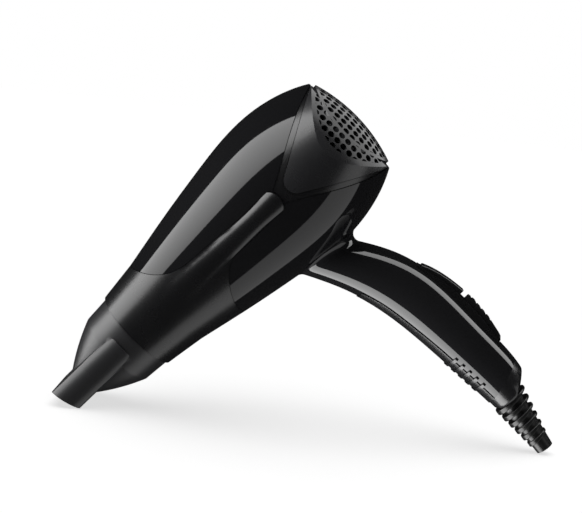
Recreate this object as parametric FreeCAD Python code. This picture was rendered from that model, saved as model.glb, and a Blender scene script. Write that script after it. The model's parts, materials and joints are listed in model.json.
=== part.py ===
import FreeCAD, Part
import math
import os
from FreeCAD import Placement, Rotation, Vector

# Travel hair dryer, millimetres.
# Design frame: x along the barrel from nozzle to rear grille, y across, z up, origin on the barrel
# axis. place() stands the finished pieces on the nozzle lip and the end of the strain relief.

# ---------------------------------------------------------------- barrel
FRONT_X = -69.0
CONE_END_X = -48.0
REAR_X = 84.6
FRONT_R = 24.0
WALL = 2.4
SKIN = 1.2
GAP = 0.2
BARREL_CURVE = [(-48, 26.7), (-20, 32.2), (12, 37.6), (48, 40.5), (70, 36.4), (84.6, 29.9)]
MOUTH_R = 21.6
MOUTH_X = -57.0
SHELL_FRONT_X = -50.0
ARM_HALF = 5.9
ARM_END_X = 37.5
ARM_PATH = [(-60, -0.5, 25.0), (-46, 0.0, 22.0), (-32, 0.6, 17.0), (-18, 1.1, 12.5), (-4, 1.4, 10.0),
            (10, 1.6, 8.4), (24, 1.7, 8.0), (44, 1.7, 8.0)]
SLEEVE_TOP = [(-48, 27.5), (-41.5, 18.6), (-34, 12.0), (-26, 8.5), (-14, 7.3), (0, 6.7), (12, ARM_HALF)]
SLEEVE_BELOW = [(4, -ARM_HALF), (-4, -7.4), (-12, -14.2), (-18, -22.8), (-21, -33)]
TRIM_EDGE = [(37.2, 4.6), (54, 14.0), (70, 23.0), (86, 29.2)]
TRIM_DROP = 0.5
SHIELD_NOSE = [(45.0, -5.2), (42.6, 0.0), (45.0, 5.2)]
SHIELD_REAR = (88.0, 30.6)

# ---------------------------------------------------------------- rear grille
DOME_X = 91.0
DOME_PLAN_R = 41.5
DOME_SIDE_R = 87.0
GRILLE_T = 2.0
SKIRT_R = 27.0
HOLE_PITCH = 4.35
HOLE_TURN = 6.1
HOLE_R = 1.75
HOLE_ROWS = [5, 5, 5, 5, 5, 5, 5, 4, 3, 1]
SCREEN_X = 76.4

# ---------------------------------------------------------------- nozzle
NOZZLE_R = 22.9
NOZZLE_CONE = [(-84.0, 21.9), (-97.0, 16.0), (-112.0, 6.6)]
NOZZLE_WALL = 1.6
COLLAR_FRONT_X = -80.0
DUCT_ROOT_X = -99.0
SPIGOT_R = 21.3
SPIGOT_X = -61.6
SLOT_HALF_T = 8.1
SLOT_HALF_W = 23.4
SLOT_CORNER_W = 20.2
SLOT_ROOT_X = -76.5
SLOT_ROOT_R = 4.2
TIP_TOP_X = -120.1
TIP_BELOW_X = -115.8

# ---------------------------------------------------------------- handle: z, front x, rear x, half width
HANDLE = [(-24, 7.0, 36.5, 13.0), (-50, 19.9, 49.3, 13.6), (-76, 29.6, 61.0, 14.8),
          (-104, 34.2, 63.9, 15.2), (-134, 36.6, 63.9, 14.7), (-162, 38.0, 59.6, 13.2)]
HANDLE_WALL = 2.2
HANDLE_LIP = 1.1
ROOT_FILLET = 4.2
ROOT_SEAM = 0.15
CAP_SEAM = [(34, -155.6), (68, -145.6)]
CAP_END_Z = -160.6
CAP_UNDERSIDE = [(20, CAP_END_Z), (51.5, CAP_END_Z), (61.5, -154.0), (80, -142.0)]
CAP_ROUND = 2.2
STRIP_TOP_Z = -66.5
STRIP_DEPTH = 4.2
STRIP_PROUD = 0.5
STRIP_RIBS = 5
RIB_TOP_Z = -124.6
RIB_PITCH = 5.8
RIB_H = 1.7
SCREWS = [(33.6, -65.0), (43.4, -106.0), (55.4, -141.0)]
SCREW_R = 1.2
SCREW_GRIP = 8.0
HEAD_R = 2.3
HEAD_Y = 8.6

# ---------------------------------------------------------------- switches
BEZEL_BACK = [(60.8, -76.2), (63.3, -86), (65.2, -96), (65.8, -105), (65.9, -116), (65.0, -127), (63.3, -136)]
BEZEL_HALF = 6.4
SLOT_HALF = 4.9
SLOT_TOP_Z = -77.4
SLOT_END_Z = -134.6
TRAY_X = 58.4
TRAY_T = 1.2
KEY_HALF = 4.6
KEY_X = 61.3
BUTTON_BACK = [(62.6, -77.8), (65.3, -84.5), (67.5, -93.5), (68.7, -102.2)]
KNOB_TOP_Z = -106.4
KNOB_X = 69.2
TOOTH_PITCH = 3.8
TOOTH_DEPTH = 1.5

# ---------------------------------------------------------------- strain relief
RELIEF_TOP = Vector(46.9, 0, -160.6)
RELIEF_END = Vector(42.0, 0, -193.0)
RELIEF_R = (9.8, 6.0)
RELIEF_CORE = (7.0, 4.7)
CORD_R = 3.7
RELIEF_RIBS = 6
RIB_PITCH = 4.85
RIB_LEAN = 11.0
RIB_T = (3.0, 1.4)
FLANGE_R = 8.6
FLANGE_T = 1.6
FLANGE_BACK = 4.2

# ---------------------------------------------------------------- air path
DUCT_R = 30.2
DUCT_T = 1.6
DUCT_X = (-6.0, 61.0)
FUNNEL_X = 8.0
MOTOR_R = 13.8
MOTOR_X = (6.0, 40.0)
CUP_T = 1.4
FAN_X = (45.0, 58.0)
FAN_R = 29.4
HUB_R = 11.0
BLADES = 7
VANES = 6
SHAFT_R = 1.15
MICA_R = 20.5
MICA_T = 0.6
MICA_X = (-56.0, -6.2)
BOARD_HALF = 15.4
BOARD_T = 0.8
COIL_R = 16.2
COIL_WIRE = 0.55


# ---------------------------------------------------------------- small helpers
def point(x, z, y=0.0):
    return Vector(x, y, z)


def line(*places):
    return Part.makePolygon([point(*p) for p in places])


def curve(places):
    spline = Part.BSplineCurve()
    spline.interpolate([point(*p) for p in places])
    return spline.toShape()


def slab(edges, half_width):
    """A side-view outline made solid across the dryer."""
    face = Part.Face(Part.Wire(Part.__sortEdges__(edges)))
    face.translate(Vector(0, -half_width, 0))
    return face.extrude(Vector(0, 2 * half_width, 0))


def outline(places, half_width=60.0):
    return slab(line(*places, places[0]).Edges, half_width)


def tube(outer_r, inner_r, x0, x1):
    outer = Part.makeCylinder(outer_r, x1 - x0, point(x0, 0), Vector(1, 0, 0))
    if inner_r <= 0:
        return outer
    return outer.cut(Part.makeCylinder(inner_r, x1 - x0, point(x0, 0), Vector(1, 0, 0)))


def block(x0, x1, y0, y1, z0, z1):
    return Part.makeBox(x1 - x0, y1 - y0, z1 - z0, Vector(x0, y0, z0))


def turned(edges):
    """Revolve a closed half outline about the barrel axis."""
    face = Part.Face(Part.Wire(Part.__sortEdges__(edges)))
    return face.revolve(Vector(0, 0, 0), Vector(1, 0, 0), 360)


def fuse(shapes):
    first, rest = shapes[0], shapes[1:]
    return first.multiFuse(rest).removeSplitter() if rest else first


def about_x(shape, angle):
    copy = shape.copy()
    copy.rotate(Vector(0, 0, 0), Vector(1, 0, 0), angle)
    return copy


# ---------------------------------------------------------------- reference bodies
def barrel_solid(inset):
    """The barrel's skin pushed inwards by inset, as a solid of revolution."""
    front = (FRONT_X, FRONT_R - inset)
    skin = [(x, r - inset) for x, r in BARREL_CURVE]
    edges = line((REAR_X, 0), (FRONT_X, 0), front, skin[0]).Edges
    edges += [curve(skin)]
    edges += line(skin[-1], (REAR_X, 0)).Edges
    return turned(edges)


def dome_solid(inset):
    """The bulged rear face: an arc in side view swept round an upright axis."""
    axis_x = DOME_X - DOME_PLAN_R
    radius = DOME_SIDE_R - inset
    centre_x = DOME_X - DOME_SIDE_R
    half = 42.0
    edge_x = centre_x + math.sqrt(radius ** 2 - half ** 2)
    arc = Part.Arc(point(edge_x, half), point(centre_x + radius, 0), point(edge_x, -half))
    edges = [arc.toShape()] + line((edge_x, -half), (axis_x, -half), (axis_x, half), (edge_x, half)).Edges
    face = Part.Face(Part.Wire(Part.__sortEdges__(edges)))
    round_part = face.revolve(point(axis_x, 0), Vector(0, 0, 1), 360)
    return round_part.fuse(block(-80, axis_x, -60, 60, -half, half)).removeSplitter()


def handle_section(z, front, rear, half_width, inset):
    """An oval across the handle: a circle stretched to the depth and width at this height."""
    stretch = FreeCAD.Matrix()
    stretch.scale((rear - front) / 2 - inset, half_width - inset, 1)
    stretch.move(Vector((front + rear) / 2, 0, z))
    return Part.Wire(Part.makeCircle(1).transformGeometry(stretch).Edges)


def handle_solid(inset):
    sections = [handle_section(z, front, rear, width, inset) for z, front, rear, width in HANDLE]
    return Part.makeLoft(sections, True, False)


def handle_front(z):
    """Front edge of the handle at a height, between the listed sections."""
    rows = [row for row in HANDLE if row[0] >= z] + [HANDLE[-1]]
    upper = rows[len([row for row in HANDLE if row[0] >= z]) - 1]
    lower = HANDLE[min(HANDLE.index(upper) + 1, len(HANDLE) - 1)]
    share = (upper[0] - z) / (upper[0] - lower[0])
    return upper[1] + share * (lower[1] - upper[1])


def half_space(side):
    """Everything on the left (side -1) or right (side 1) of the middle plane."""
    return block(-200, 200, 0, 100, -260, 100) if side > 0 else block(-200, 200, -100, 0, -260, 100)


# ---------------------------------------------------------------- side-view outlines
def sleeve_region(grow=0.0):
    top = [(x + grow, z + grow) for x, z in SLEEVE_TOP]
    below = [(x + grow, z - grow) for x, z in SLEEVE_BELOW]
    end = ARM_END_X + grow
    half = ARM_HALF + grow
    arm_end = Part.Arc(point(end - 3.0, half), point(end, 0), point(end - 3.0, -half)).toShape()
    edges = [curve(top), arm_end, curve(below)]
    edges += line(top[-1], (end - 3.0, half)).Edges
    edges += line((end - 3.0, -half), below[0]).Edges
    edges += line(below[-1], (below[-1][0], -60), (-90, -60), (-90, 60), (top[0][0], 60), top[0]).Edges
    return slab(edges, 60.0)


def trim_region():
    upper = TRIM_EDGE
    lower = [(x, -z) for x, z in TRIM_EDGE]
    nose = Part.Arc(point(*upper[0]), point(ARM_END_X + GAP, 0), point(*lower[0])).toShape()
    edges = [curve(upper), nose, curve(lower)]
    edges += line(upper[-1], (96, upper[-1][1]), (96, -upper[-1][1]), lower[-1]).Edges
    return slab(edges, 60.0)


def shield_region(gap=0.0):
    nose = [(SHIELD_NOSE[0][0], SHIELD_NOSE[0][1] + gap), (SHIELD_NOSE[1][0] + gap, 0),
            (SHIELD_NOSE[2][0], SHIELD_NOSE[2][1] - gap)]
    rear_x, rear_z = SHIELD_REAR
    edges = [Part.Arc(*[point(*p) for p in nose]).toShape()]
    edges += line(nose[2], (rear_x, rear_z - gap), (rear_x + 9, rear_z - gap), (rear_x + 9, gap - rear_z),
                  (rear_x, gap - rear_z), nose[0]).Edges
    return slab(edges, 60.0)


# ---------------------------------------------------------------- barrel pieces
def skin_r(x):
    """Outside radius of the barrel at x."""
    if x <= CONE_END_X:
        return FRONT_R + (x - FRONT_X) * (BARREL_CURVE[0][1] - FRONT_R) / (CONE_END_X - FRONT_X)
    upright = Part.makeLine(point(x, 0), point(x, 60))
    return curve(BARREL_CURVE).distToShape(upright)[1][0][0].z


def arm_bars():
    """Half-round bar along each side, rising out of the sleeve."""
    bars = []
    for side in (-1, 1):
        rings = []
        for x, raised, bow in ARM_PATH:
            centre = Vector(x, side * (skin_r(x) + raised - bow), 0)
            rings.append(Part.Wire(Part.makeCircle(bow, centre, Vector(1, 0, 0))))
        bars.append(Part.makeLoft(rings, True, False))
    return bars


def front_sleeve(skins):
    outer, middle, inner = skins["outer"], skins["middle"], skins["inner"]
    region = sleeve_region()
    overlay = outer.common(region).cut(middle)
    collar = outer.cut(inner).common(block(-80, SHELL_FRONT_X, -60, 60, -60, 60))
    mouth = tube(FRONT_R, MOUTH_R, FRONT_X, MOUTH_X).common(outer)
    arms = [bar.common(region).common(block(-52, 60, -60, 60, -20, 20)).cut(middle) for bar in arm_bars()]
    body = fuse([overlay, collar, mouth] + arms)
    return body.cut(Part.makeCylinder(MOUTH_R, 12, point(FRONT_X, 0), Vector(1, 0, 0)))


def barrel_shell(side, skins, neck):
    shell = skins["outer"].cut(skins["inner"])
    shell = shell.cut(block(-90, SHELL_FRONT_X, -60, 60, -60, 60))
    overlay = sleeve_region(GAP).cut(skins["middle"])
    shell = shell.cut(overlay).cut(trim_region()).cut(neck)
    return shell.common(half_space(side))


def rear_frame(skins):
    """V-shaped trim on both sides with a pocket for the shields, on a ring inside the shells."""
    band = barrel_solid(TRIM_DROP).cut(barrel_solid(WALL + 0.4)).common(trim_region())
    floor = barrel_solid(SKIN + 0.4).common(dome_solid(GRILLE_T + 0.8))
    pocket = shield_region().cut(floor)
    ring = barrel_solid(WALL).cut(barrel_solid(WALL + 1.8)).common(block(58, 68, -60, 60, -60, 60))
    return fuse([band.cut(pocket), ring])


def grille_holes():
    """Columns of holes square to the bulge; the outer columns are shorter."""
    holes = []
    axis_x = DOME_X - DOME_PLAN_R
    for column in range(1 - len(HOLE_ROWS), len(HOLE_ROWS)):
        turn = math.radians(column * HOLE_TURN)
        out = Vector(math.cos(turn), math.sin(turn), 0)
        reach = HOLE_ROWS[abs(column)]
        for row in range(-reach, reach + 1):
            start = Vector(axis_x, 0, row * HOLE_PITCH) + out * 32
            holes.append(Part.makeCylinder(HOLE_R, 14, start, out))
    return Part.makeCompound(holes)


def rear_grille(skins):
    dome = dome_solid(0)
    hollow = dome_solid(GRILLE_T)
    sides = skins["outer"].common(shield_region(0.3))
    plug = Part.makeCylinder(SKIRT_R, 40, point(55, 0), Vector(1, 0, 0))
    rear_sides = sides.common(block(62, 96, -60, 60, -60, 60))
    face = fuse([rear_sides, plug]).common(dome).cut(hollow).cut(grille_holes())
    cheeks = sides.common(dome).cut(skins["middle"])
    skirt = tube(SKIRT_R, SKIRT_R - 1.4, SCREEN_X, 88).common(dome)
    return fuse([face, cheeks, skirt])


def filter_mesh():
    """Fine lint screen behind the grille: a rim with thin crossing wires."""
    rim_r = SKIRT_R - 1.4
    rim = tube(rim_r, rim_r - 1.2, SCREEN_X, SCREEN_X + 1.2)
    x0, x1 = SCREEN_X + 0.3, SCREEN_X + 0.9
    bars = []
    for step in range(-5, 6):
        bars.append(block(x0, x1, step * 4.4 - 0.3, step * 4.4 + 0.3, -rim_r, rim_r))
        bars.append(block(x0, x1, -rim_r, rim_r, step * 4.4 - 0.3, step * 4.4 + 0.3))
    return fuse([rim, fuse(bars).common(tube(rim_r - 0.6, 0, x0, x1))])


# ---------------------------------------------------------------- nozzle
def slot_section(inset):
    """Flat oval across the outlet: bowed narrow ends and soft corners."""
    thick, wide, corner = SLOT_HALF_T - inset, SLOT_HALF_W - inset, SLOT_CORNER_W - inset
    edges = []
    for side in (-1, 1):
        edges.append(Part.Arc(Vector(0, side * corner, thick), Vector(0, side * wide, 0),
                              Vector(0, side * corner, -thick)).toShape())
    edges.append(Part.makeLine(Vector(0, -corner, thick), Vector(0, corner, thick)))
    edges.append(Part.makeLine(Vector(0, -corner, -thick), Vector(0, corner, -thick)))
    return Part.Face(Part.Wire(Part.__sortEdges__(edges)))


def slot_body(inset, x0, x1):
    face = slot_section(inset)
    face.translate(Vector(x0, 0, 0))
    body = face.extrude(Vector(x1 - x0, 0, 0))
    if inset > 0:
        return body
    long_edges = [e for e in body.Edges if abs(e.BoundBox.XLength - (x1 - x0)) < 0.01]
    body = body.makeFillet(2.6, long_edges)
    rounded = block(x0 - 1, x1, -60, 60, -SLOT_HALF_T, SLOT_HALF_T)
    root = [e for e in rounded.Edges if e.BoundBox.YLength > 100 and e.BoundBox.XMin > x1 - 0.01]
    return body.common(rounded.makeFillet(SLOT_ROOT_R, root))


def nozzle_body(inset, front):
    cone = [(x, r - inset) for x, r in NOZZLE_CONE]
    edges = line((front, 0), (front, NOZZLE_R - inset), cone[0]).Edges
    edges.append(Part.Arc(*[point(*p) for p in cone]).toShape())
    edges += line(cone[2], (cone[2][0], 0), (front, 0)).Edges
    return turned(edges)


def tip_cut():
    """Everything in front of the leaning outlet plane."""
    tip_lean = (TIP_TOP_X - TIP_BELOW_X) / (2 * SLOT_HALF_T)
    tip_x = (TIP_TOP_X + TIP_BELOW_X) / 2
    return outline([(tip_x + 40 * tip_lean, 40), (tip_x - 40 * tip_lean, -40), (-190, -40), (-190, 40)])


def nozzle_pieces():
    """Collar that turns in the mouth, funnel that flattens the stream, and duct with the outlet."""
    back = FRONT_X - 0.4
    duct_outer = slot_body(0, -140, SLOT_ROOT_X)
    outer = fuse([nozzle_body(0, back), duct_outer])
    hollow = fuse([nozzle_body(NOZZLE_WALL, back - 1.4), slot_body(NOZZLE_WALL, -150, SLOT_ROOT_X - 3)])
    spigot = tube(SPIGOT_R, 0, back - 1, SPIGOT_X)
    bore = tube(SPIGOT_R - 1.6, 0, back - 4, SPIGOT_X + 1)
    whole = fuse([outer, spigot]).cut(hollow).cut(bore)
    duct_room = duct_outer.common(block(-160, DUCT_ROOT_X, -60, 60, -60, 60))
    collar = whole.common(block(COLLAR_FRONT_X, 0, -60, 60, -60, 60))
    funnel = whole.common(block(-160, COLLAR_FRONT_X, -60, 60, -60, 60)).cut(duct_room)
    duct = duct_room.cut(slot_body(NOZZLE_WALL, -150, SLOT_ROOT_X)).cut(tip_cut())
    return {"nozzle_collar": collar, "nozzle_funnel": funnel, "nozzle_duct": duct}


# ---------------------------------------------------------------- handle pieces
def cap_region():
    (x0, z0), (x1, z1) = CAP_SEAM
    return outline([(x0, z0), (x1, z1), (x1, -200), (x0, -200)])


def rooted_handle(skins):
    """Handle outside with the fillet where it meets the barrel, cut off just above the barrel."""
    handle = handle_solid(0)
    joined = skins["outer"].fuse(handle)
    root = [e for e in joined.Edges if e.BoundBox.ZMax < -33 and e.BoundBox.ZMin > -43
            and e.BoundBox.YLength > 4]
    return joined.makeFillet(ROOT_FILLET, root).cut(skins["seat"])


def strip_region(depth):
    heights = [STRIP_TOP_Z, -80, -95, -112, -132, -158]
    places = [(handle_front(z) + depth, z) for z in heights]
    edges = [curve(places)]
    edges += line(places[-1], (20, -158), (20, STRIP_TOP_Z), places[0]).Edges
    return slab(edges, 60.0)


def grip_strip(solids):
    """Front inlay of the grip with cross ribs that reach round towards the sides."""
    proud = handle_solid(-STRIP_PROUD)
    body = proud.cut(solids["lip"]).common(strip_region(STRIP_DEPTH))
    ribs = []
    for step in range(STRIP_RIBS):
        z = RIB_TOP_Z - step * RIB_PITCH
        band = block(20, 60, -30, 30, z - RIB_H / 2, z + RIB_H / 2)
        ribs.append(band.common(strip_region(STRIP_DEPTH + 1.6)))
    raised = handle_solid(-STRIP_PROUD - 0.6).cut(handle_solid(0)).common(fuse(ribs))
    return fuse([body, raised]).cut(cap_region())


def bezel_region():
    edges = [curve(BEZEL_BACK)]
    edges += line(BEZEL_BACK[-1], (TRAY_X, BEZEL_BACK[-1][1]), (TRAY_X, BEZEL_BACK[0][1]), BEZEL_BACK[0]).Edges
    return slab(edges, BEZEL_HALF)


def switch_bezel():
    """Raised pad round the two switches with a tray floor that holds them."""
    pad = bezel_region()
    well = block(TRAY_X + TRAY_T, 80, -SLOT_HALF, SLOT_HALF, SLOT_END_Z, SLOT_TOP_Z)
    stem_slot = block(50, 70, -1.6, 1.6, -124.5, -113.0)
    plunger_hole = Part.makeCylinder(1.7, 20, point(50, -94), Vector(1, 0, 0))
    return pad.cut(well).cut(stem_slot).cut(plunger_hole)


def screw_holes(side):
    """Right: clearance hole and counterbore for the head. Left: blind pilot hole."""
    tools = []
    for x, z in SCREWS:
        along = Vector(0, side, 0)
        if side > 0:
            tools.append(Part.makeCylinder(HEAD_R + 0.2, 20, Vector(x, HEAD_Y, z), along))
            tools.append(Part.makeCylinder(SCREW_R + 0.1, 20, Vector(x, 0, z), along))
        else:
            tools.append(Part.makeCylinder(SCREW_R, SCREW_GRIP, Vector(x, 0, z), along))
    return tools


def handle_shell(side, solids, skins):
    """One half of the handle with its screw posts and a neck that enters the barrel."""
    shell = solids["rooted"].cut(solids["inside"]).cut(cap_region())
    neck = solids["lip"].cut(solids["inside"]).common(skins["seat"]).cut(barrel_solid(4.5))
    posts = [Part.makeCylinder(3.2, 14, Vector(x, 0, z), Vector(0, side, 0)) for x, z in SCREWS]
    posts = [post.common(solids["post_limit"]) for post in posts]
    shell = fuse([shell, neck]).cut(solids["strip"]).cut(solids["pad"])
    shell = fuse([shell.common(half_space(side))] + posts)
    for tool in screw_holes(side):
        shell = shell.cut(tool)
    return shell


def handle_screws():
    """Three self-tapping screws that pull the handle halves together from the right."""
    screws = []
    for x, z in SCREWS:
        head = Part.makeCylinder(HEAD_R, 1.4, Vector(x, HEAD_Y, z), Vector(0, 1, 0))
        shank = Part.makeCylinder(SCREW_R, SCREW_GRIP + HEAD_Y, Vector(x, -SCREW_GRIP, z), Vector(0, 1, 0))
        slot = block(x - 1.6, x + 1.6, HEAD_Y + 0.7, HEAD_Y + 2, z - 0.3, z + 0.3)
        cross = block(x - 0.3, x + 0.3, HEAD_Y + 0.7, HEAD_Y + 2, z - 1.6, z + 1.6)
        screws.append(fuse([head, shank]).cut(slot).cut(cross))
    return Part.makeCompound(screws)


def end_cap(solids):
    underside = CAP_UNDERSIDE + [(80, -200), (20, -200)]
    body = handle_solid(0).common(cap_region()).cut(outline(underside))
    rim = [e for e in body.Edges if e.BoundBox.YLength > 3 and e.BoundBox.ZMax < -150.5]
    body = body.makeFillet(CAP_ROUND, rim)
    raised = [(x, z + HANDLE_WALL + 0.4) for x, z in underside]
    cavity = handle_solid(HANDLE_WALL).cut(outline(raised))
    axis = RELIEF_END - RELIEF_TOP
    along = Vector(axis).normalize()
    passage = Part.makeCylinder(RELIEF_CORE[0] - 1.2, 20, RELIEF_TOP - along * 6.5, axis)
    flange_room = Part.makeCylinder(FLANGE_R + 0.1, 20, RELIEF_TOP - along * (FLANGE_BACK - FLANGE_T), axis * -1)
    collar_room = Part.makeCylinder(RELIEF_R[0] + 0.3, 8.7, RELIEF_TOP - along * 0.7, axis)
    for room in (collar_room, cavity, passage, flange_room):
        body = body.cut(room)
    # each side keeps faces of its own, because a face that wraps right round has a poorly defined volume
    return body.common(half_space(-1)).fuse(body.common(half_space(1)))


def relief_rib(step):
    """One leaning collar of the relief, thick towards the front of the grip and thin at the rear."""
    r = RELIEF_R[0] + (RELIEF_R[1] - RELIEF_R[0]) * step / (RELIEF_RIBS - 1)
    z = 1.2 + step * RIB_PITCH
    rise = (r + 1) * math.tan(math.radians(RIB_LEAN))
    front, rear = RIB_T[0] / 2, RIB_T[1] / 2
    wedge = outline([(r + 1, z + rise - front), (r + 1, z + rise + front),
                     (-r - 1, z - rise + rear), (-r - 1, z - rise - rear)])
    rib = Part.makeCylinder(r, 20, Vector(0, 0, z - 10)).common(wedge)
    rims = [e for e in rib.Edges if e.BoundBox.YLength > 1.9 * r]
    return rib.makeFillet(0.45, rims)


def strain_relief():
    """Tapered rubber sleeve: a core with six leaning collars."""
    axis = RELIEF_END - RELIEF_TOP
    length = axis.Length
    core = Part.makeCone(RELIEF_CORE[0], RELIEF_CORE[1], length)
    ribs = [relief_rib(step) for step in range(RELIEF_RIBS)]
    body = fuse([core] + ribs)
    flange = Part.makeCylinder(FLANGE_R, FLANGE_T, Vector(0, 0, -FLANGE_BACK))
    throat = Part.makeCylinder(RELIEF_CORE[0] - 1.4, FLANGE_BACK + 0.2, Vector(0, 0, -FLANGE_BACK))
    body = fuse([body, throat, flange])
    body = body.cut(Part.makeCylinder(CORD_R, length + 1))
    body = body.cut(Part.makeCylinder(CORD_R + 0.6, FLANGE_BACK + 1, Vector(0, 0, -FLANGE_BACK - 1)))
    body.Placement = Placement(RELIEF_TOP, Rotation(Vector(0, 0, 1), axis))
    return body


# ---------------------------------------------------------------- switch pieces
def cool_shot_button():
    edges = [curve(BUTTON_BACK)]
    top, end = BUTTON_BACK[0], BUTTON_BACK[-1]
    edges += line(end, (KEY_X, end[1]), (KEY_X, top[1]), top).Edges
    cap = slab(edges, KEY_HALF)
    rounded = [e for e in cap.Edges if e.BoundBox.YLength < 0.1 and e.BoundBox.XMax > 62.7
               and e.BoundBox.ZLength > 5]
    cap = cap.makeFillet(1.2, rounded)
    stem = Part.makeCylinder(1.5, 3.6, point(KEY_X - 3.5, -94), Vector(1, 0, 0))
    return fuse([cap, stem])


def slide_knob():
    """Thumb slide with four teeth and a smooth tail."""
    places = [(KEY_X - 0.4, KNOB_TOP_Z), (KNOB_X - 0.5, KNOB_TOP_Z), (KNOB_X - 0.2, KNOB_TOP_Z - 1.4)]
    for step in range(4):
        z = KNOB_TOP_Z - 2.0 - step * TOOTH_PITCH
        fall = 0.25 * step
        places.append((KNOB_X - TOOTH_DEPTH - fall, z))
        places.append((KNOB_X - fall, z - 1.1))
        places.append((KNOB_X - fall, z - 2.6))
    z = KNOB_TOP_Z - 2.0 - 4 * TOOTH_PITCH
    places += [(KNOB_X - TOOTH_DEPTH - 1.0, z), (67.9, z - 1.2), (66.4, -132.4), (64.7, -134.2)]
    places.append((KEY_X - 0.4, -134.2))
    body = outline(places, KEY_HALF)
    stem = block(54.4, KEY_X, -1.3, 1.3, -123.9, -117.3)
    return fuse([body, stem])


def slide_switch_body():
    case = block(46.0, 57.6, -5.5, 5.5, -130.0, -110.0)
    slot = block(54.0, 60.0, -1.6, 1.6, -124.5, -113.0)
    lugs = [block(43.0, 46.0, -0.4 + y, 0.4 + y, -127.0 + step * 6, -124.5 + step * 6)
            for step in range(3) for y in (-3.0, 3.0)]
    return fuse([case.cut(slot)] + lugs)


def cool_shot_microswitch():
    case = block(46.5, 56.2, -3.2, 3.2, -101.5, -87.5)
    socket = Part.makeCylinder(1.5, 3, point(54.0, -94), Vector(1, 0, 0))
    lugs = [block(43.5, 46.5, -1.2, 1.2, z - 0.4, z + 0.4) for z in (-99.0, -94.5, -90.0)]
    return fuse([case.cut(socket)] + lugs)


def microswitch_plunger():
    return Part.makeCylinder(1.4, 2.0, point(55.8, -94), Vector(1, 0, 0))


# ---------------------------------------------------------------- fan and motor
def fan_duct():
    """Shroud with a funnel to the heater, stator vanes and the cup that holds the motor."""
    x0, x1 = DUCT_X
    small = MICA_R + 0.4
    outer = [(x0, 0), (x0, small + DUCT_T), (FUNNEL_X, DUCT_R + DUCT_T), (x1, DUCT_R + DUCT_T), (x1, 0)]
    inner = [(x0, 0), (x0, small), (FUNNEL_X, DUCT_R), (x1, DUCT_R), (x1, 0)]
    shroud = turned(line(*outer, outer[0]).Edges).cut(turned(line(*inner, inner[0]).Edges))
    cup = tube(MOTOR_R + CUP_T, MOTOR_R, MOTOR_X[0] + 1, MOTOR_X[1] - 0.5)
    front = tube(MOTOR_R + CUP_T, 4.0, MOTOR_X[1] - 0.5, MOTOR_X[1] + 1.0)
    vane = block(14, 36, -0.6, 0.6, MOTOR_R + CUP_T - 0.3, DUCT_R + 0.5)
    vanes = [about_x(vane, 360 / VANES * step + 30) for step in range(VANES)]
    rib = block(20, 52, -0.8, 0.8, DUCT_R + DUCT_T - 0.3, 34.6)
    ribs = [about_x(rib, 90 * step + 45) for step in range(4)]
    return fuse([shroud, cup, front] + vanes + ribs)


def motor_can():
    x0, x1 = MOTOR_X
    body = tube(MOTOR_R - 0.1, MOTOR_R - 1.2, x0 + 2.0, x1 - 0.6)
    front = tube(MOTOR_R - 0.1, 3.0, x1 - 1.6, x1 - 0.6)
    nose = tube(3.9, 3.0, x1 - 0.6, x1 + 2.0)
    return fuse([body, front, nose])


def motor_end_bell():
    x0 = MOTOR_X[0]
    plate = tube(MOTOR_R - 0.1, 3.0, x0 - 1.0, x0 + 2.0)
    hub = tube(4.6, 3.0, x0 - 3.5, x0 - 1.0)
    tags = [block(x0 - 5.0, x0 - 1.0, side * 8 - 1.2, side * 8 + 1.2, -0.3, 0.3) for side in (-1, 1)]
    return fuse([plate, hub] + tags)


def motor_bearings():
    x0, x1 = MOTOR_X
    pair = [tube(3.0, SHAFT_R + 0.04, x0 - 3.0, x0 + 1.0), tube(3.0, SHAFT_R + 0.04, x1 - 1.4, x1 + 1.6)]
    return Part.makeCompound(pair)


def motor_magnets():
    ring = tube(MOTOR_R - 1.25, 10.6, MOTOR_X[0] + 5, MOTOR_X[1] - 5)
    wedge = block(0, 60, -30, 30, -4.5, 4.5)
    halves = ring.cut(wedge)
    return Part.makeCompound(halves.Solids)


def rotor():
    """Laminated three-slot armature with its windings and commutator."""
    x0, x1 = MOTOR_X[0] + 8, MOTOR_X[1] - 8
    core = tube(10.1, SHAFT_R, x0, x1)
    slot = block(x0 - 1, x1 + 1, -1.0, 1.0, 5.0, 12.0)
    slots = [about_x(slot, 120 * step) for step in range(3)]
    winding = tube(8.6, SHAFT_R, x0 - 2.5, x1 + 2.5)
    commutator = tube(3.2, SHAFT_R, x0 - 5.5, x0 - 2.5)
    return fuse([core.cut(Part.makeCompound(slots)), winding, commutator])


def motor_shaft():
    return Part.makeCylinder(SHAFT_R, 57, point(1.5, 0), Vector(1, 0, 0))


def impeller():
    """Axial fan: a hub with seven pitched blades."""
    x0, x1 = FAN_X
    hub = tube(HUB_R, SHAFT_R, x0, x1 - 2)
    nose = Part.makeSphere(HUB_R, point(x1 - 2 - 0.01, 0), Vector(1, 0, 0), 0, 90, 360)
    nose = nose.common(tube(HUB_R, SHAFT_R, x1 - 3, x1 + 3.5))
    blades = []
    for step in range(BLADES):
        root = Part.makePolygon([Vector(x0 + 1, -5.5, 9), Vector(x0 + 2, -5.5, 9), Vector(x1 - 3, 5.5, 9),
                                 Vector(x1 - 4, 5.5, 9), Vector(x0 + 1, -5.5, 9)])
        tip = Part.makePolygon([Vector(x0 + 3, -9, FAN_R), Vector(x0 + 4, -9, FAN_R),
                                Vector(x1 - 4, 9, FAN_R), Vector(x1 - 5, 9, FAN_R), Vector(x0 + 3, -9, FAN_R)])
        blade = Part.makeLoft([root, tip], True, True)
        blades.append(about_x(blade, 360 / BLADES * step))
    trimmed = fuse(blades).common(tube(FAN_R, 10.0, x0, x1))
    return fuse([hub, nose, trimmed])


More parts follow.
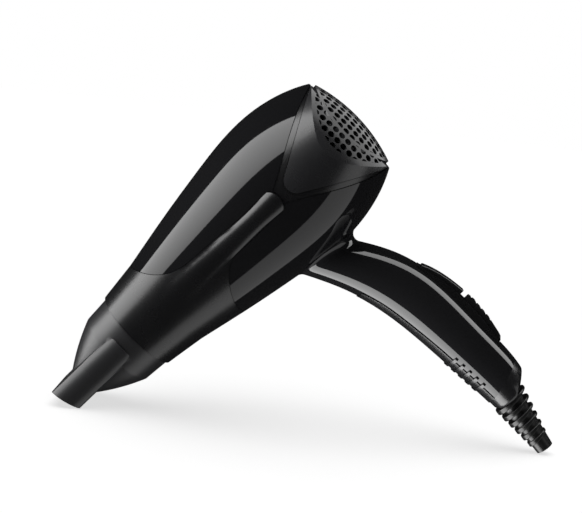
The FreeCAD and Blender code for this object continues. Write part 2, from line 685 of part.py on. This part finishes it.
# ---------------------------------------------------------------- heater
def mica_tube():
    return tube(MICA_R, MICA_R - MICA_T, *MICA_X)


def heater_frame():
    """Two crossed mica boards on a ring at each end."""
    x0, x1 = MICA_X[0] + 3, MICA_X[1] - 3
    boards = [block(x0, x1, -BOARD_T / 2, BOARD_T / 2, -BOARD_HALF, BOARD_HALF),
              block(x0, x1, -BOARD_HALF, BOARD_HALF, -BOARD_T / 2, BOARD_T / 2)]
    rings = [tube(MICA_R - MICA_T - 0.1, BOARD_HALF - 1.5, x, x + 0.8) for x in (x0, x1 - 0.8)]
    return fuse(boards + rings)


def heater_coils():
    """One long resistance wire wound round the crossed boards."""
    x0 = MICA_X[0] + 6
    length = MICA_X[1] - 6 - x0
    helix = Part.makeHelix(4.2, length, COIL_R)
    ring = Part.Wire(Part.makeCircle(COIL_WIRE, Vector(COIL_R, 0, 0), Vector(0, 1, 0)))
    coil = Part.Wire(helix).makePipeShell([ring], True, True)
    coil.Placement = Placement(point(x0, 0), Rotation(Vector(0, 0, 1), Vector(1, 0, 0)))
    return coil


def thermostat():
    case = block(-26, -16, BOARD_T / 2, BOARD_T / 2 + 3.6, 3.0, 10.0)
    blade = block(-30, -26, BOARD_T / 2 + 1.4, BOARD_T / 2 + 1.8, 4.5, 8.5)
    return fuse([case, blade])


def thermal_fuse():
    body = Part.makeCylinder(1.6, 9, Vector(-40, -BOARD_T / 2 - 1.6, 7), Vector(1, 0, 0))
    leads = Part.makeCylinder(0.4, 17, Vector(-44, -BOARD_T / 2 - 1.6, 7), Vector(1, 0, 0))
    return fuse([body, leads])


def outlet_guard():
    """Safety grid across the barrel mouth."""
    x0, x1 = -60.4, -58.6
    rings = [tube(r, r - 1.1, x0, x1) for r in (MOUTH_R - 0.05, 15.4, 9.4, 3.6)]
    bars = [about_x(block(x0, x1, -0.5, 0.5, -MOUTH_R + 0.6, MOUTH_R - 0.6), 60 * step) for step in range(3)]
    return fuse(rings + bars)


# ---------------------------------------------------------------- wiring in the handle
def rectifier_board():
    board = block(38.5, 40.1, -8, 8, -96, -76)
    diodes = []
    for step in range(4):
        z = -93.5 + step * 5.0
        body = Part.makeCylinder(1.3, 5.0, Vector(41.4, -2.5, z), Vector(0, 1, 0))
        legs = [block(40.1, 41.8, y - 0.3, y + 0.3, z - 0.3, z + 0.3) for y in (-4.0, 4.0)]
        wire = Part.makeCylinder(0.3, 8.6, Vector(41.4, -4.3, z), Vector(0, 1, 0))
        diodes.append(fuse([body, wire] + legs))
    return fuse([board] + diodes)


def suppressor_capacitor():
    box = block(39.2, 42.8, -5.0, 5.0, -124, -113)
    legs = [Part.makeCylinder(0.35, 3, Vector(41.0, y, -113), Vector(0, 0, 1)) for y in (-3.5, 3.5)]
    return fuse([box] + legs)


def wire_run(places, radius):
    spline = Part.BSplineCurve()
    spline.interpolate([Vector(*p) for p in places])
    path = Part.Wire(spline.toShape())
    start = Vector(*places[0])
    ring = Part.Wire(Part.makeCircle(radius, start, spline.tangent(spline.FirstParameter)[0]))
    return path.makePipeShell([ring], True, True)


def lead_wires():
    """Two insulated leads from the cord clamp up to the motor and heater."""
    runs = []
    for side in (-1, 1):
        places = [(46.7, 1.7, -146.4), (48, 7.4, -137), (50, 8.6, -120), (50, 8.6, -100), (46, 8.2, -80),
                  (37.5, 6.0, -58), (28, 5.0, -41)]
        runs.append(wire_run([(x, side * y, z) for x, y, z in places], 1.1))
    return Part.makeCompound(runs)


def cord_clamp():
    bar = block(43.4, 53.0, -7.0, 7.0, -150.4, -147.2)
    bar = bar.cut(Part.makeCylinder(3.4, 10, Vector(46.7, 0, -153), Vector(0, 0, 1)))
    for y in (-5.4, 5.4):
        bar = bar.cut(Part.makeCylinder(0.9, 6, Vector(51.2, y, -152), Vector(0, 0, 1)))
    return bar


def clamp_screws():
    screws = []
    for y in (-5.4, 5.4):
        shank = Part.makeCylinder(0.9, 4.0, Vector(51.2, y, -147.2), Vector(0, 0, -1))
        head = Part.makeCylinder(1.7, 1.2, Vector(51.2, y, -147.2))
        screws.append(fuse([shank, head]))
    return Part.makeCompound(screws)


# ---------------------------------------------------------------- assembly
def standing_place():
    """Stand on the lower nozzle lip and the front of the strain relief's end, centred in x."""
    axis = (RELIEF_END - RELIEF_TOP).normalize()
    across = Vector(axis.z, 0, -axis.x) * RELIEF_CORE[1]
    lip = Vector(TIP_BELOW_X, 0, -SLOT_HALF_T)
    foot = RELIEF_END + across
    stance = math.degrees(math.atan2(lip.z - foot.z, foot.x - lip.x))
    turn = Rotation(Vector(0, 1, 0), -stance)
    low_x = turn.multVec(Vector(TIP_TOP_X, 0, SLOT_HALF_T)).x
    high_x = turn.multVec(RELIEF_END - across).x
    floor_z = turn.multVec(lip).z
    return Placement(Vector(-(low_x + high_x) / 2, 0, -floor_z), turn)


def build():
    skins = {"outer": barrel_solid(0), "middle": barrel_solid(SKIN), "inner": barrel_solid(WALL),
             "seat": barrel_solid(-ROOT_SEAM)}
    solids = {"inside": handle_solid(HANDLE_WALL), "lip": handle_solid(HANDLE_LIP)}
    solids["rooted"] = rooted_handle(skins)
    solids["strip"] = strip_region(STRIP_DEPTH).cut(solids["lip"])
    solids["pad"] = block(TRAY_X, 80, -BEZEL_HALF, BEZEL_HALF, BEZEL_BACK[-1][1], BEZEL_BACK[0][1])
    solids["post_limit"] = handle_solid(1.2)
    nodes = {"barrel_shell_left": barrel_shell(-1, skins, solids["lip"]),
             "barrel_shell_right": barrel_shell(1, skins, solids["lip"]),
             "front_sleeve": front_sleeve(skins),
             "rear_frame": rear_frame(skins),
             "rear_grille": rear_grille(skins),
             "filter_mesh": filter_mesh(),
             "handle_shell_left": handle_shell(-1, solids, skins),
             "handle_shell_right": handle_shell(1, solids, skins),
             "grip_strip": grip_strip(solids),
             "switch_bezel": switch_bezel(),
             "end_cap": end_cap(solids),
             "strain_relief": strain_relief()}
    nodes.update(nozzle_pieces())
    for maker in (cool_shot_button, slide_knob, slide_switch_body, cool_shot_microswitch,
                  microswitch_plunger, handle_screws, fan_duct, motor_can, motor_end_bell, motor_bearings,
                  motor_magnets, rotor, motor_shaft, impeller, mica_tube, heater_frame, heater_coils,
                  thermostat, thermal_fuse, outlet_guard, rectifier_board, suppressor_capacitor,
                  lead_wires, cord_clamp, clamp_screws):
        nodes[maker.__name__] = maker()
    return nodes


def main():
    os.makedirs("parts", exist_ok=True)
    stand = standing_place()
    for name, shape in build().items():
        shape.Placement = stand.multiply(shape.Placement)
        shape.exportStep(f"parts/{name}.step")


main()
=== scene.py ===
"""Travel hair dryer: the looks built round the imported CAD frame."""
import json
import math

import bmesh
import bpy
import numpy as np
from mathutils import Matrix, Quaternion, Vector

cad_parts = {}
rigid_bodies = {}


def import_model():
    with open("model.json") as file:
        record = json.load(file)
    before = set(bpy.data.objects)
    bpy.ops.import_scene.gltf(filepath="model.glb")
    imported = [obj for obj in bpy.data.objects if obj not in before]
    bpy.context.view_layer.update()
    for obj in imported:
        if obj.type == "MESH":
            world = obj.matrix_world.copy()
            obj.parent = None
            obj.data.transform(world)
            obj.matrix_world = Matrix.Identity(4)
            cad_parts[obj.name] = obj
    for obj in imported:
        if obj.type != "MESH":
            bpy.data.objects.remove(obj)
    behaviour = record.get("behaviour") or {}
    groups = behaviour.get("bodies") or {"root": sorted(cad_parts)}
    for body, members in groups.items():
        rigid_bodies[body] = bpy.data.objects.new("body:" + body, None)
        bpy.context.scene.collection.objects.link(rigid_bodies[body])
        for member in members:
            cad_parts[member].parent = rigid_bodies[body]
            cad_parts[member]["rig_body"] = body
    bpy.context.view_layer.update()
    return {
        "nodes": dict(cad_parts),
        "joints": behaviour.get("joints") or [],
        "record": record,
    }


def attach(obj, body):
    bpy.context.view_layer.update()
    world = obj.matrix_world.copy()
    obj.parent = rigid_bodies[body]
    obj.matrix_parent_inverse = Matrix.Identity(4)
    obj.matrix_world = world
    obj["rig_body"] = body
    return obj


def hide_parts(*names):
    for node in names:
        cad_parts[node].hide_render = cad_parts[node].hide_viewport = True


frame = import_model()
MM = 0.001

# ------------------------------------------------------------------ the dryer's own axes
TURN = next(joint for joint in frame["joints"] if joint["name"] == "nozzle_turn")
# Where the nozzle_turn joint sits on the barrel axis, in millimetres.
HINGE_X = -80.0
ALONG = Vector(TURN["axis"]).normalized()
UPWARD = Vector((-ALONG.z, 0, ALONG.x))
ORIGIN = Vector(TURN["pos_m"]) - ALONG * HINGE_X * MM


def place(x, y, z):
    """A point given in millimetres along the barrel axis, across it and above it."""
    return ORIGIN + ALONG * x * MM + Vector((0, y * MM, 0)) + UPWARD * z * MM


# ------------------------------------------------------------------ camera, stage and lights
AIM = place(16.0, 0, -28.0)
CAMERA_AZIMUTH = math.radians(1.586)
CAMERA_ELEVATION = math.radians(8.167)
CAMERA_ROLL = math.radians(6.3)
CAMERA_DISTANCE = 0.8
CAMERA_LENS = 95.16
WORLD_GREY = 0.012
FLOOR_RADIUS = 3.0
FLOOR_SEGMENTS = 96
FLOOR_GREY = 0.93
FLOOR_GLOW = 0.68
FLOOR_SUN = 1.1
FLOOR_SUN_ANGLE = math.radians(70)
BARREL_TILT = math.radians(44)
HANDLE_TILT = math.radians(-40)
GRILLE_TILT = math.radians(-50)
SOFTBOX_GAP = 1.0
# name, tilt of the strip in the picture, side of the camera, centre along and near,
# length, width, slope, radiance at the far and at the near edge
SOFTBOXES = [("upper_left", BARREL_TILT, 1, -0.25, 0.52, 3.2, 1.06, 0.50, 5.0, 2.7),
             ("lower_right", BARREL_TILT, -1, 0.0, 0.28, 2.4, 0.74, 0.40, 0.95, 0.8),
             ("lower_left", HANDLE_TILT, -1, -0.15, 0.15, 1.9, 0.85, 0.0, 6.5, 5.5),
             ("upper_right", HANDLE_TILT, 1, -0.2, 0.24, 1.8, 0.38, -0.50, 4.2, 4.2),
             ("rear", GRILLE_TILT, 1, 0.1, -0.45, 2.0, 1.5, 0.0, 1.7, 1.5),
             ("shield", BARREL_TILT, 1, -0.25, 0.5, 3.2, 0.7, 0.50, 16.0, 9.0)]
BARREL_LAMPS = ("upper_left", "lower_right")
HANDLE_LAMPS = ("lower_left", "upper_right")
GRILLE_LAMPS = ("rear", "shield")
HANDLE_PIECES = ("handle_shell_left", "handle_shell_right", "grip_strip", "switch_bezel", "end_cap",
                 "strain_relief", "slide_knob", "cool_shot_button")
GRILLE_PIECES = ("rear_grille", "filter_mesh")


def spherical(azimuth, elevation):
    """Unit direction from the object towards a viewer at this azimuth and elevation."""
    level = math.cos(elevation)
    return Vector((math.sin(azimuth) * level, -math.cos(azimuth) * level, math.sin(elevation)))


def add_camera():
    camera = bpy.data.objects.new("camera", bpy.data.cameras.new("camera"))
    bpy.context.collection.objects.link(camera)
    away = spherical(CAMERA_AZIMUTH, CAMERA_ELEVATION)
    camera.location = AIM + away * CAMERA_DISTANCE
    camera.rotation_mode = "QUATERNION"
    camera.rotation_quaternion = away.to_track_quat("Z", "Y") @ Quaternion((0, 0, 1), CAMERA_ROLL)
    camera.data.lens = CAMERA_LENS
    camera.data.clip_start = 0.01
    bpy.context.scene.camera = camera
    return camera


def add_softbox(camera, name, tilt, side, along, near, length, width, slope, far_glow, near_glow):
    """A strip light beside the camera's line, long in the direction of the barrel or the handle.

    Its brightness runs from far_glow at the edge away from the camera to near_glow at the
    edge towards it.
    """
    level = camera.rotation_quaternion @ Quaternion((0, 0, 1), tilt)
    long_way = Vector((1, 0, slope)).normalized()
    outward = Vector((0, side, 0))
    near_way = outward.cross(long_way)
    light = bpy.data.lights.new(name, "AREA")
    light.shape = "RECTANGLE"
    light.size = length
    light.size_y = width
    light.energy = math.pi * length * width
    light.use_nodes = True
    nodes, links = light.node_tree.nodes, light.node_tree.links
    where = nodes.new("ShaderNodeNewGeometry")
    parts = nodes.new("ShaderNodeSeparateXYZ")
    fade = nodes.new("ShaderNodeMapRange")
    up_means_near = near_way.z > 0
    fade.inputs["To Min"].default_value = far_glow if up_means_near else near_glow
    fade.inputs["To Max"].default_value = near_glow if up_means_near else far_glow
    links.new(where.outputs["Parametric"], parts.inputs[0])
    links.new(parts.outputs["Y"], fade.inputs["Value"])
    links.new(fade.outputs["Result"], nodes["Emission"].inputs["Strength"])
    lamp = bpy.data.objects.new(name, light)
    bpy.context.collection.objects.link(lamp)
    axes = Matrix((long_way, near_way, outward)).transposed()
    lamp.rotation_mode = "QUATERNION"
    lamp.rotation_quaternion = level @ axes.to_quaternion()
    lamp.location = AIM + level @ Vector((along, side * SOFTBOX_GAP, near))
    return lamp


def limit_light(lamp, things, state):
    """Make a lamp light only these things, or everything but these things."""
    group = bpy.data.collections.new(lamp.name + "_link")
    lamp.light_linking.receiver_collection = group
    for thing in things:
        group.objects.link(thing)
    for entry in group.collection_objects:
        entry.light_linking.link_state = state


def white_world():
    """White where the camera sees past the floor, dark grey for light and reflections."""
    world = bpy.data.worlds.new("studio")
    bpy.context.scene.world = world
    world.use_nodes = True
    nodes, links = world.node_tree.nodes, world.node_tree.links
    nodes.clear()
    seen = nodes.new("ShaderNodeBackground")
    seen.inputs["Color"].default_value = (1, 1, 1, 1)
    dark = nodes.new("ShaderNodeBackground")
    dark.inputs["Color"].default_value = (WORLD_GREY, WORLD_GREY, WORLD_GREY, 1)
    path = nodes.new("ShaderNodeLightPath")
    mix = nodes.new("ShaderNodeMixShader")
    out = nodes.new("ShaderNodeOutputWorld")
    links.new(path.outputs["Is Camera Ray"], mix.inputs["Fac"])
    links.new(dark.outputs[0], mix.inputs[1])
    links.new(seen.outputs[0], mix.inputs[2])
    links.new(mix.outputs[0], out.inputs["Surface"])


def add_floor():
    """A round pale floor. Reflections in the dryer don't see it."""
    mesh = bpy.data.meshes.new("floor")
    form = bmesh.new()
    bmesh.ops.create_circle(form, cap_ends=True, segments=FLOOR_SEGMENTS, radius=FLOOR_RADIUS)
    form.to_mesh(mesh)
    form.free()
    floor = bpy.data.objects.new("floor", mesh)
    bpy.context.collection.objects.link(floor)
    floor.visible_glossy = False
    floor.visible_shadow = False
    paint = bpy.data.materials.new("floor_paper")
    paint.use_nodes = True
    shader = paint.node_tree.nodes["Principled BSDF"]
    shader.inputs["Base Color"].default_value = (FLOOR_GREY, FLOOR_GREY, FLOOR_GREY, 1)
    shader.inputs["Emission Color"].default_value = (1, 1, 1, 1)
    shader.inputs["Emission Strength"].default_value = FLOOR_GLOW
    shader.inputs["Roughness"].default_value = 0.9
    shader.inputs["Specular IOR Level"].default_value = 0.0
    mesh.materials.append(paint)
    return floor


def light_floor(floor):
    """A wide soft sun for the floor alone, so that it stays evenly pale to the horizon."""
    light = bpy.data.lights.new("floor_sun", "SUN")
    light.energy = FLOOR_SUN
    light.angle = FLOOR_SUN_ANGLE
    lamp = bpy.data.objects.new("floor_sun", light)
    bpy.context.collection.objects.link(lamp)
    limit_light(lamp, [floor], "INCLUDE")


def add_studio():
    camera = add_camera()
    white_world()
    floor = add_floor()
    lamps = {box[0]: add_softbox(camera, *box) for box in SOFTBOXES}
    for name in BARREL_LAMPS:
        limit_light(lamps[name], [floor], "EXCLUDE")
    light_floor(floor)
    bpy.context.scene.view_settings.view_transform = "Standard"
    return lamps


LAMPS = add_studio()


# ------------------------------------------------------------------ materials
class Paint:
    """A node material under construction, with short ways to add its textures."""

    def __init__(self, name):
        self.material = bpy.data.materials.new(name)
        self.material.use_nodes = True
        self.nodes = self.material.node_tree.nodes
        self.links = self.material.node_tree.links
        self.shader = self.nodes["Principled BSDF"]
        self.where = self.nodes.new("ShaderNodeTexCoord").outputs["Object"]

    def set(self, **sockets):
        for name, value in sockets.items():
            self.shader.inputs[name.replace("_", " ")].default_value = value

    def noise(self, scale, detail=2.0, roughness=0.5, stretch=None):
        where = self.where
        if stretch:
            mapping = self.nodes.new("ShaderNodeMapping")
            mapping.inputs["Scale"].default_value = stretch
            self.links.new(self.where, mapping.inputs["Vector"])
            where = mapping.outputs["Vector"]
        texture = self.nodes.new("ShaderNodeTexNoise")
        texture.inputs["Scale"].default_value = scale
        texture.inputs["Detail"].default_value = detail
        texture.inputs["Roughness"].default_value = roughness
        self.links.new(where, texture.inputs["Vector"])
        return texture.outputs["Fac"]

    def spread(self, value, low, high):
        """Map a 0 to 1 value onto low to high."""
        node = self.nodes.new("ShaderNodeMapRange")
        node.inputs["To Min"].default_value = low
        node.inputs["To Max"].default_value = high
        self.links.new(value, node.inputs["Value"])
        return node.outputs["Result"]

    def ramp(self, value, stops):
        """Map a 0 to 1 value onto two colours."""
        node = self.nodes.new("ShaderNodeValToRGB")
        for element, (at, colour) in zip(node.color_ramp.elements, stops):
            element.position = at
            element.color = (*colour, 1)
        self.links.new(value, node.inputs["Fac"])
        return node.outputs["Color"]

    def join(self, value, socket):
        self.links.new(value, self.shader.inputs[socket])

    def bump(self, value, depth):
        node = self.nodes.new("ShaderNodeBump")
        node.inputs["Distance"].default_value = depth
        node.inputs["Strength"].default_value = 1.0
        self.links.new(value, node.inputs["Height"])
        return node.outputs["Normal"]


ROUGH_SPREAD = 0.12
GLOSS_ROUGHNESS = 0.05
GLOSS_RIPPLE_DEPTH = 0.000012
BRUSH_SCALE = 90.0
BRUSH_DEPTH = 0.00001


def moulded(name, colour, roughness, grain_depth, grain_scale, ior_level=0.5):
    """Moulded plastic with a fine spark-eroded grain, handling marks and slight tone changes."""
    paint = Paint(name)
    tone = paint.noise(18, 3)
    darker, lighter = [c * 0.82 for c in colour], [c * 1.18 for c in colour]
    paint.join(paint.ramp(tone, [(0.3, darker), (0.7, lighter)]), "Base Color")
    rough = paint.noise(55, 5, 0.6)
    smoothest, roughest = roughness * (1 - ROUGH_SPREAD), roughness * (1 + ROUGH_SPREAD)
    paint.join(paint.spread(rough, smoothest, roughest), "Roughness")
    grain = paint.noise(grain_scale, 2, 0.55)
    paint.join(paint.bump(grain, grain_depth), "Normal")
    paint.set(Specular_IOR_Level=ior_level)
    return paint.material


def polished(name, colour):
    """High-gloss plastic: a slow moulding ripple, hairline wipe marks and slight tone changes."""
    paint = Paint(name)
    tone = paint.noise(12, 2)
    darker, lighter = [c * 0.85 for c in colour], [c * 1.15 for c in colour]
    paint.join(paint.ramp(tone, [(0.3, darker), (0.7, lighter)]), "Base Color")
    wipe = paint.noise(60, 6, 0.65, stretch=(1, 9, 2))
    paint.join(paint.spread(wipe, GLOSS_ROUGHNESS * 0.6, GLOSS_ROUGHNESS * 1.5), "Roughness")
    ripple = paint.noise(26, 1.0)
    paint.join(paint.bump(ripple, GLOSS_RIPPLE_DEPTH), "Normal")
    paint.set(Specular_IOR_Level=0.5)
    return paint.material


def metal(name, colour, roughness):
    """Metal with fine brush marks along one direction."""
    paint = Paint(name)
    brush = paint.noise(BRUSH_SCALE, 6, 0.7, stretch=(1, 1, 12))
    paint.join(paint.ramp(brush, [(0.3, [c * 0.8 for c in colour]), (0.7, colour)]), "Base Color")
    paint.join(paint.spread(brush, roughness * 0.7, roughness * 1.3), "Roughness")
    paint.join(paint.bump(brush, BRUSH_DEPTH), "Normal")
    paint.set(Metallic=1.0)
    return paint.material


# Moulded: colour, mean roughness, grain depth in metres, grain scale. Metal: colour, roughness.
MATERIALS = {
    "gloss_black": polished("gloss_black", (0.006, 0.006, 0.0065)),
    "satin_black": moulded("satin_black", (0.0045, 0.0045, 0.005), 0.27, 0.000008, 3600, ior_level=0.7),
    "nozzle_black": moulded("nozzle_black", (0.011, 0.011, 0.012), 0.36, 0.00001, 3200, ior_level=0.8),
    "relief_rubber": moulded("relief_rubber", (0.004, 0.004, 0.004), 0.3, 0.000015, 2400),
    "button_black": moulded("button_black", (0.006, 0.006, 0.0065), 0.22, 0.00001, 3200),
    "inner_plastic": moulded("inner_plastic", (0.5, 0.5, 0.48), 0.5, 0.00002, 1500),
    "fan_plastic": moulded("fan_plastic", (0.03, 0.03, 0.033), 0.4, 0.00002, 1500),
    "steel": metal("steel", (0.6, 0.6, 0.62), 0.3),
    "zinc_steel": metal("zinc_steel", (0.7, 0.7, 0.68), 0.38),
    "magnet": moulded("magnet", (0.05, 0.05, 0.052), 0.55, 0.00003, 900),
    "bronze": metal("bronze", (0.55, 0.38, 0.2), 0.45),
    "copper": metal("copper", (0.7, 0.32, 0.15), 0.3),
    "mica": moulded("mica", (0.5, 0.4, 0.26), 0.4, 0.00003, 500),
    "heating_wire": metal("heating_wire", (0.35, 0.3, 0.27), 0.45),
    "board": moulded("board", (0.05, 0.2, 0.08), 0.3, 0.00002, 700),
    "capacitor": moulded("capacitor", (0.6, 0.45, 0.05), 0.3, 0.00002, 700),
    "wire_sheath": moulded("wire_sheath", (0.25, 0.06, 0.03), 0.4, 0.00002, 900),
    "switch_case": moulded("switch_case", (0.03, 0.03, 0.032), 0.4, 0.00002, 1200),
    "screen": metal("screen", (0.05, 0.05, 0.052), 0.5),
}

SLOT_OF = {part["node"]: part["material_slot"] for part in frame["record"]["subparts"]}
SKINNED = ["barrel_shell_left", "barrel_shell_right", "front_sleeve", "rear_frame",
           "nozzle_collar", "nozzle_funnel", "nozzle_duct",
           "handle_shell_left", "handle_shell_right", "end_cap", "grip_strip", "cool_shot_button"]

# ------------------------------------------------------------------ true surface normals
SMOOTH_ANGLE = math.radians(28)
WELD = 2e-7
NEIGHBOURS = 14
# Below this doubled area a triangle has no direction of its own.
SLIVER_AREA = 1e-13
TINY = 1e-20
# A neighbour counts when the cosine between its rough normal and this one is above this.
LIKE_MINDED = 0.75
FEWEST_NEAR = 4
# Normals closer to the X axis than this cosine build their tangents from the Y axis.
AXIS_LEAN = 0.8
CENTRE_EASE = 0.05
FIT_TERMS = 5
FIT_DAMPING = 1e-4
FIT_FLOOR = 1e-9
STEEPEST = 0.35


def welded(mesh):
    """Corner points and triangles of a mesh with equal points joined, as arrays."""
    points = np.zeros(len(mesh.vertices) * 3)
    mesh.vertices.foreach_get("co", points)
    points = points.reshape(-1, 3)
    mesh.calc_loop_triangles()
    corners = np.zeros(len(mesh.loop_triangles) * 3, np.int64)
    mesh.loop_triangles.foreach_get("vertices", corners)
    keys, first, back = np.unique(np.round(points / WELD).astype(np.int64), axis=0,
                                  return_index=True, return_inverse=True)
    faces = back.reshape(-1)[corners].reshape(-1, 3)
    keep = (faces[:, 0] != faces[:, 1]) & (faces[:, 1] != faces[:, 2]) & (faces[:, 0] != faces[:, 2])
    return points[first], faces[keep]


def smooth_groups(points, faces):
    """Join triangle corners that share a point across gently bent edges.

    Returns the group of every corner and a rough normal for every group.
    """
    edge_a = points[faces[:, 1]] - points[faces[:, 0]]
    edge_b = points[faces[:, 2]] - points[faces[:, 0]]
    cross = np.cross(edge_a, edge_b)
    area = np.linalg.norm(cross, axis=1)
    flat = cross / np.maximum(area, TINY)[:, None]
    count = len(faces)
    start = faces[:, [0, 1, 2]].reshape(-1)
    end = faces[:, [1, 2, 0]].reshape(-1)
    key = np.minimum(start, end) * (len(points) + 1) + np.maximum(start, end)
    order = np.argsort(key, kind="stable")
    same = np.nonzero(key[order[1:]] == key[order[:-1]])[0]
    one, two = order[same], order[same + 1]
    gentle = (flat[one // 3] * flat[two // 3]).sum(1) > math.cos(SMOOTH_ANGLE)
    gentle |= (area[one // 3] < SLIVER_AREA) | (area[two // 3] < SLIVER_AREA)
    one, two = one[gentle], two[gentle]
    next_one = one - one % 3 + (one % 3 + 1) % 3
    next_two = two - two % 3 + (two % 3 + 1) % 3
    opposite = start[one] != start[two]
    pair_a = np.concatenate([one, next_one])
    pair_b = np.concatenate([np.where(opposite, next_two, two),
                             np.where(opposite, two, next_two)])
    label = np.arange(count * 3)
    while True:
        low = np.minimum(label[pair_a], label[pair_b])
        before = label.copy()
        np.minimum.at(label, pair_a, low)
        np.minimum.at(label, pair_b, low)
        label = label[label]
        if (label == before).all():
            break
    _, ids = np.unique(label, return_inverse=True)
    ids = ids.reshape(-1, 3)
    total = np.zeros((ids.max() + 1, 3))
    for corner in range(3):
        here = points[faces[:, corner]]
        arm = points[faces[:, (corner + 1) % 3]] - here
        other = points[faces[:, (corner + 2) % 3]] - here
        size = np.linalg.norm(arm, axis=1) * np.linalg.norm(other, axis=1)
        cosine = (arm * other).sum(1) / np.maximum(size, TINY)
        angle = np.arccos(np.clip(cosine, -1, 1))
        np.add.at(total, ids[:, corner], flat * angle[:, None])
    return ids, total / np.maximum(np.linalg.norm(total, axis=1), TINY)[:, None]


def fitted_normals(points, faces):
    """A normal for every triangle corner, from a curved patch fitted through the points round it."""
    ids, rough = smooth_groups(points, faces)
    spot = np.zeros((len(rough), 3))
    spot[ids.reshape(-1)] = points[faces.reshape(-1)]
    near = [set() for _ in rough]
    for a, b, c in ids:
        near[a].update((b, c))
        near[b].update((a, c))
        near[c].update((a, b))
    table = np.full((len(rough), NEIGHBOURS), -1)
    for k, first_ring in enumerate(near):
        ring = set(first_ring)
        for other in first_ring:
            ring |= near[other]
        ring.discard(k)
        ring = np.array(sorted(ring))
        if len(ring) < FEWEST_NEAR:
            continue
        ring = ring[(rough[ring] @ rough[k]) > LIKE_MINDED]
        far = np.linalg.norm(spot[ring] - spot[k], axis=1)
        ring = ring[np.argsort(far, kind="stable")[:NEIGHBOURS]]
        table[k, :len(ring)] = ring
    used = table >= 0
    away = spot[table] - spot[:, None]
    side = np.where(np.abs(rough[:, :1]) < AXIS_LEAN, [[1.0, 0, 0]], [[0, 1.0, 0]])
    u = np.cross(rough, side)
    u /= np.linalg.norm(u, axis=1)[:, None]
    v = np.cross(rough, u)
    reach = np.sqrt(((away ** 2).sum(2) * used).sum(1) / np.maximum(used.sum(1), 1)) + 1e-12
    a = (away * u[:, None]).sum(2) / reach[:, None]
    b = (away * v[:, None]).sum(2) / reach[:, None]
    height = (away * rough[:, None]).sum(2) / reach[:, None]
    weight = used / (CENTRE_EASE + a ** 2 + b ** 2)
    terms = np.stack([a, b, a * a, a * b, b * b], 2)
    left = np.einsum("nki,nkj,nk->nij", terms, terms, weight)
    right = np.einsum("nki,nk,nk->ni", terms, height, weight)
    left += np.eye(FIT_TERMS) * (FIT_DAMPING * weight.sum(1)[:, None, None] + FIT_FLOOR)
    slope = np.linalg.solve(left, right[:, :, None])[:, :2, 0]
    slope[used.sum(1) < FIT_TERMS] = 0
    slope = np.clip(slope, -STEEPEST, STEEPEST)
    normal = rough - slope[:, :1] * u - slope[:, 1:] * v
    normal /= np.linalg.norm(normal, axis=1)[:, None]
    return normal[ids]


def refined(node_name):
    """A piece of the same shape as a CAD node, shaded with its true curvature."""
    source = frame["nodes"][node_name]
    points, faces = welded(source.data)
    normals = fitted_normals(points, faces)
    mesh = bpy.data.meshes.new(node_name + "_skin")
    mesh.from_pydata(points.tolist(), [], faces.tolist())
    mesh.update()
    mesh.polygons.foreach_set("use_smooth", [True] * len(mesh.polygons))
    mesh.normals_split_custom_set(normals.reshape(-1, 3).tolist())
    piece = bpy.data.objects.new(node_name + "_skin", mesh)
    bpy.context.collection.objects.link(piece)
    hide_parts(node_name)
    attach(piece, source["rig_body"])
    mesh.materials.append(MATERIALS[SLOT_OF[node_name]])


def light_only(lamp, node_names):
    """Keep a lamp to these nodes and the skins that stand in for them."""
    wanted = [frame["nodes"][name] for name in node_names]
    wanted += [bpy.data.objects[name + "_skin"] for name in node_names if name in SKINNED]
    limit_light(lamp, wanted, "INCLUDE")


for name, node in frame["nodes"].items():
    node.data.materials.clear()
    node.data.materials.append(MATERIALS[SLOT_OF[name]])

for name in SKINNED:
    refined(name)
for lamp_name in HANDLE_LAMPS:
    light_only(LAMPS[lamp_name], HANDLE_PIECES)
for lamp_name in GRILLE_LAMPS:
    light_only(LAMPS[lamp_name], GRILLE_PIECES)
